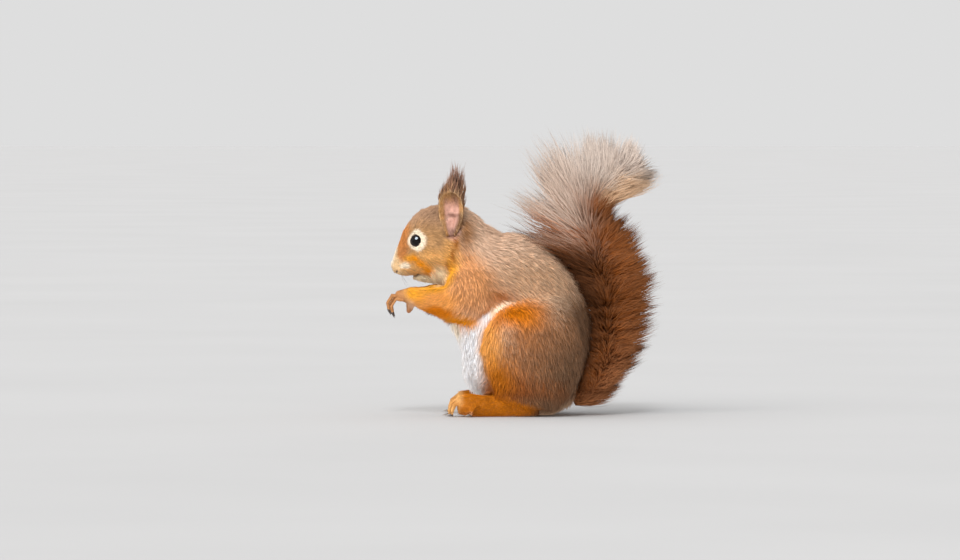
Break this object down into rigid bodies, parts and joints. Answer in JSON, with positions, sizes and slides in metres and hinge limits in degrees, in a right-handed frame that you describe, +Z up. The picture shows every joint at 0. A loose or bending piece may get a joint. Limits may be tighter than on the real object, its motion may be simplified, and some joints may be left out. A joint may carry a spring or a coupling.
{
  "type": "red squirrel model",
  "caption": "Life-size red squirrel sitting on its haunches, hands drawn together at the chest, tufted ears, and a bushy tail raised along the back with its tip curled over behind.",
  "frame": {"origin": "middle of the floor under the whole animal, tail included", "axes": "+Z up; the animal faces -X, its left side is -Y and its tail is at +X"},
  "size_m": [0.1758, 0.0892, 0.1811],
  "materials": {
    "coat": "matte",
    "orange_coat": "matte",
    "ear_coat": "matte",
    "tail_coat": "matte",
    "plume_coat": "matte",
    "skin": "matte",
    "eye": "gloss",
    "claw": "satin",
    "whisker": "satin"
  },
  "bodies": {
    "root": {"ear_left": "ear_coat", "ear_right": "ear_coat", "eye_left": "eye", "eye_right": "eye", "forearm_left": "orange_coat", "forearm_right": "orange_coat", "hand_left": "orange_coat", "hand_right": "orange_coat", "head": "coat", "hind_foot_left": "orange_coat", "hind_foot_right": "orange_coat", "lower_jaw": "orange_coat", "neck": "coat", "tail_bend": "plume_coat", "tail_lower": "tail_coat", "tail_middle": "tail_coat", "tail_plume": "plume_coat", "tail_root": "tail_coat", "thigh_left": "coat", "thigh_right": "coat", "trunk": "coat", "upper_arm_left": "coat", "upper_arm_right": "coat"}
  },
  "joints": []
}
